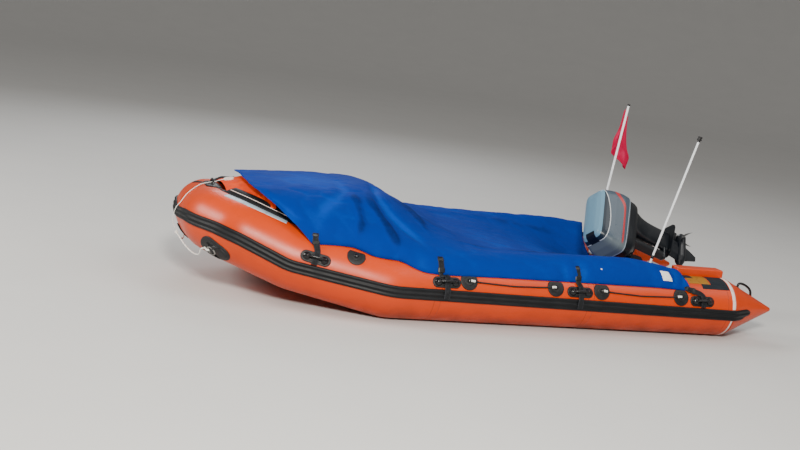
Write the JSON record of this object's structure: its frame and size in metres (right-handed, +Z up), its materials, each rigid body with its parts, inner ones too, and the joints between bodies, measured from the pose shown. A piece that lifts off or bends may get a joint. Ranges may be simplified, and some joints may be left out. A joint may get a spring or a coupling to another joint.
{
  "type": "inflatable inshore lifeboat",
  "caption": "Inflatable inshore lifeboat with rubbing strake, grab lines, fabric cover, light mast, flag staff and a raised outboard engine that tilts and steers.",
  "frame": {"origin": "on the flat underside of the keel strip, below the middle of the transom board", "axes": "+X to the bow, +Y to port, +Z up"},
  "size_m": [4.9359, 2.0968, 1.7208],
  "materials": {
    "tube_skin": "satin",
    "black_rubber": "satin",
    "transom_board": "satin",
    "dodger_cloth": "matte",
    "cover_cloth": "matte",
    "white_pole": "gloss",
    "lamp_plastic": "satin",
    "flag_cloth": "matte",
    "white_rope": "matte",
    "bracket_metal": "satin",
    "black_plastic": "satin",
    "cowl_plastic": "gloss",
    "engine_iron": "satin",
    "leg_metal": "gloss"
  },
  "bodies": {
    "hull": {"tube_port": "tube_skin", "tube_starboard": "tube_skin", "bow_tube": "tube_skin", "cone_port": "tube_skin", "cone_starboard": "tube_skin", "hull_bottom": "tube_skin", "keel_strip": "black_rubber", "stem_strip": "black_rubber", "transom": "transom_board", "strake_port": "black_rubber", "strake_starboard": "black_rubber", "strake_bow": "black_rubber", "handle_aft_port": "black_rubber", "handle_aft_starboard": "black_rubber", "handle_mid_aft_port": "black_rubber", "handle_mid_aft_starboard": "black_rubber", "handle_mid_fore_port": "black_rubber", "handle_mid_fore_starboard": "black_rubber", "handle_fore_port": "black_rubber", "handle_fore_starboard": "black_rubber", "grab_line_aft_port": "black_rubber", "grab_line_aft_starboard": "black_rubber", "grab_line_fore_port": "black_rubber", "grab_line_fore_starboard": "black_rubber", "grab_patch_port": "black_rubber", "grab_patch_starboard": "black_rubber", "tow_patch_port": "black_rubber", "tow_patch_starboard": "black_rubber", "bow_fitting": "black_rubber", "quarter_pad_port": "tube_skin", "quarter_pad_starboard": "tube_skin", "cone_loop_port": "black_rubber", "cone_loop_starboard": "black_rubber", "bow_dodger": "dodger_cloth", "cover": "cover_cloth", "light_mast": "white_pole", "mast_lamp": "lamp_plastic", "flag_staff": "white_pole", "flag": "flag_cloth", "bridle": "white_rope", "lanyard": "white_rope", "lanyard_coil": "white_rope", "clamp_bracket": "bracket_metal"},
    "swivel": {"swivel_bracket": "bracket_metal"},
    "engine": {"engine_pan": "black_plastic", "engine_cowl": "cowl_plastic", "engine_block": "engine_iron", "leg_housing": "leg_metal", "gearcase": "leg_metal"},
    "screw": {"propeller": "leg_metal"}
  },
  "joints": [
    {"name": "outboard_tilt", "type": "hinge", "parent": "hull", "child": "swivel", "pos_m": [0.046, 0, 0.445], "axis": [0, 1, 0], "range_deg": [-72, 0]},
    {"name": "outboard_steer", "type": "hinge", "parent": "swivel", "child": "engine", "pos_m": [0.00583, 0, 0.56864], "axis": [0.9511, 0, 0.309], "range_deg": [-75, 5]},
    {"name": "propeller_spin", "type": "hinge", "parent": "engine", "child": "screw", "pos_m": [-0.5629, -0.12504, 0.5716], "axis": [0.2531, 0.5736, -0.7791], "continuous": true}
  ]
}
